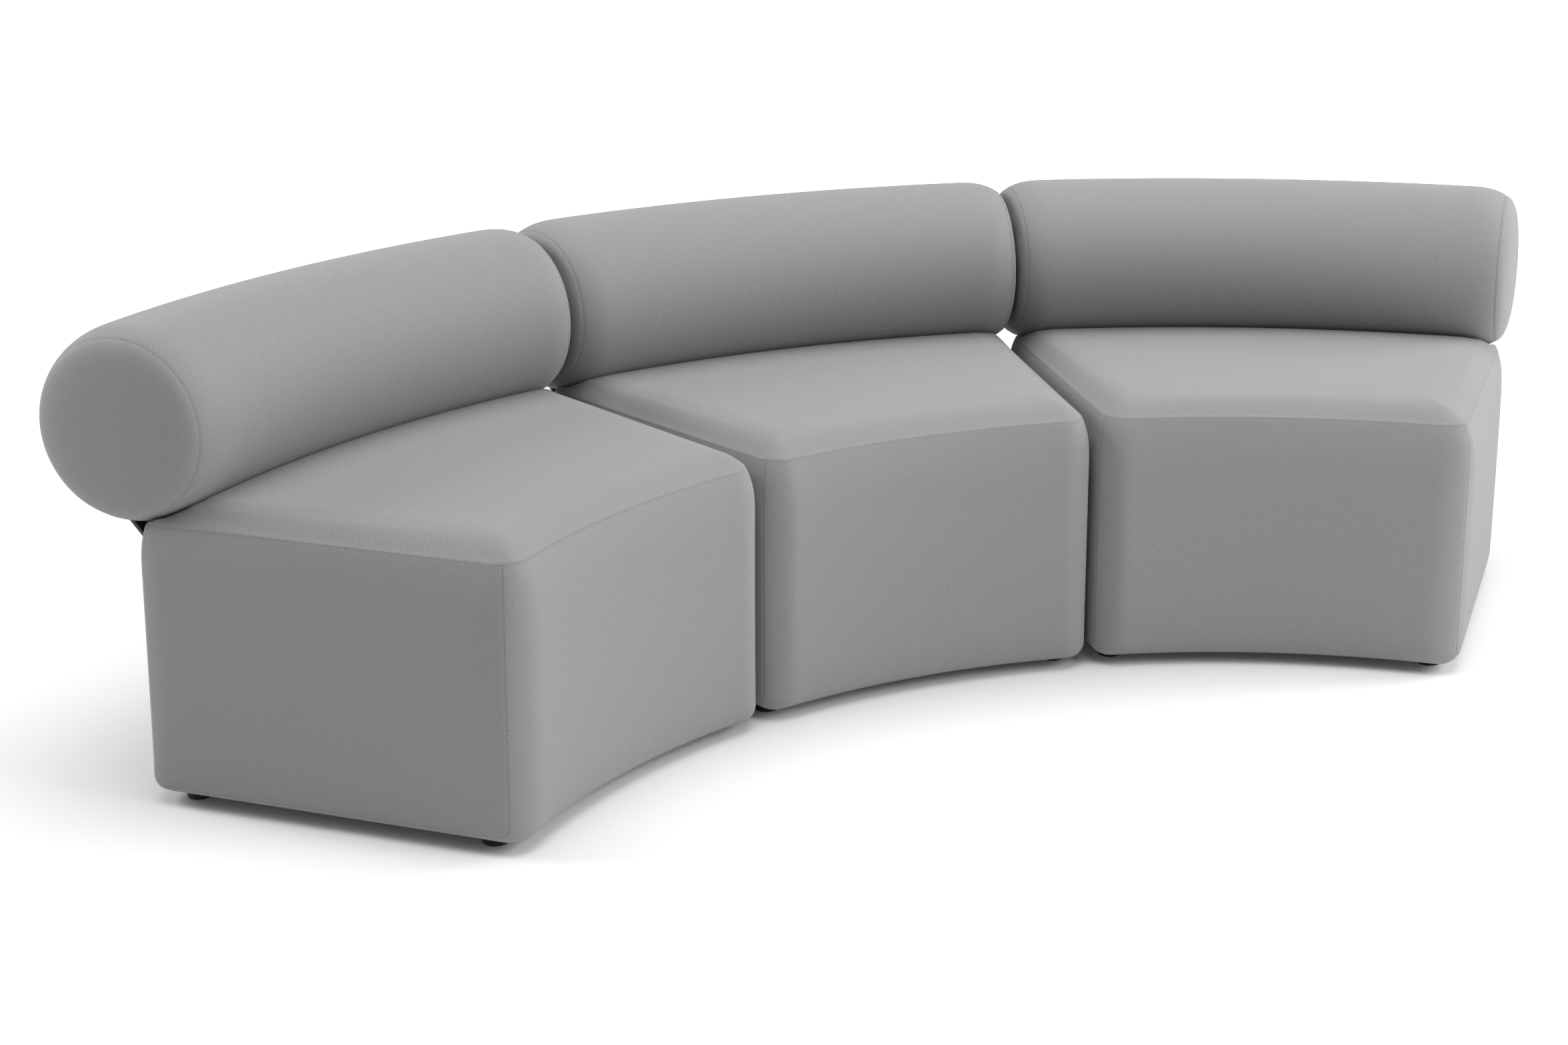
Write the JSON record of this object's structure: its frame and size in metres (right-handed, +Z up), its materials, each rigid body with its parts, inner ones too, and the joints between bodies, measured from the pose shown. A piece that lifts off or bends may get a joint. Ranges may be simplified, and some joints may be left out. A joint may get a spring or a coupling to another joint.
{
  "type": "curved modular sofa",
  "caption": "Curved sofa of wedge-shaped upholstered block seats set side by side, each with a thick bolster back on steel brackets and low round feet.",
  "frame": {"origin": "on the floor, at the middle of the sofa's footprint box, under the lowest faces of the feet", "axes": "+Z up, -Y the way a sitter on the centre seat faces, +X along the sofa, to the right as seen from in front of it"},
  "size_m": [2.621, 1.0709, 0.6965],
  "materials": {
    "woven_fabric": "matte woven twill",
    "foam": "open-cell upholstery foam",
    "plywood": "bare birch plywood",
    "dust_cloth": "non-woven black cloth",
    "black_plastic": "matte black",
    "black_steel": "black powder coat",
    "zinc_screw": "zinc plated"
  },
  "bodies": {
    "centre_module": {"centre_back_board": "plywood", "centre_back_brackets": "black_steel", "centre_base_board": "plywood", "centre_base_screws": "zinc_screw", "centre_bolster_core": "plywood", "centre_bolster_cover": "woven_fabric", "centre_bolster_end_caps": "woven_fabric", "centre_bolster_foam": "foam", "centre_bracket_screws": "zinc_screw", "centre_dust_cover": "dust_cloth", "centre_feet": "black_plastic", "centre_front_board": "plywood", "centre_link_sockets": "black_steel", "centre_link_tongues": "black_steel", "centre_rib": "plywood", "centre_seat_cover": "woven_fabric", "centre_seat_deck": "plywood", "centre_seat_top_foam": "foam", "centre_seat_wrap_foam": "foam", "centre_side_boards": "plywood"},
    "left_module": {"left_back_board": "plywood", "left_back_brackets": "black_steel", "left_base_board": "plywood", "left_base_screws": "zinc_screw", "left_bolster_core": "plywood", "left_bolster_cover": "woven_fabric", "left_bolster_end_caps": "woven_fabric", "left_bolster_foam": "foam", "left_bracket_screws": "zinc_screw", "left_dust_cover": "dust_cloth", "left_feet": "black_plastic", "left_front_board": "plywood", "left_link_tongues": "black_steel", "left_rib": "plywood", "left_seat_cover": "woven_fabric", "left_seat_deck": "plywood", "left_seat_top_foam": "foam", "left_seat_wrap_foam": "foam", "left_side_boards": "plywood"},
    "right_module": {"right_back_board": "plywood", "right_back_brackets": "black_steel", "right_base_board": "plywood", "right_base_screws": "zinc_screw", "right_bolster_core": "plywood", "right_bolster_cover": "woven_fabric", "right_bolster_end_caps": "woven_fabric", "right_bolster_foam": "foam", "right_bracket_screws": "zinc_screw", "right_dust_cover": "dust_cloth", "right_feet": "black_plastic", "right_front_board": "plywood", "right_link_sockets": "black_steel", "right_rib": "plywood", "right_seat_cover": "woven_fabric", "right_seat_deck": "plywood", "right_seat_top_foam": "foam", "right_seat_wrap_foam": "foam", "right_side_boards": "plywood"}
  },
  "joints": [
    {"name": "left_pull", "type": "slide", "parent": "centre_module", "child": "left_module", "axis": [-0.9659, -0.2588, 0], "range_m": [0, 0.3]},
    {"name": "right_pull", "type": "slide", "parent": "centre_module", "child": "right_module", "axis": [0.9659, -0.2588, 0], "range_m": [0, 0.3]}
  ]
}
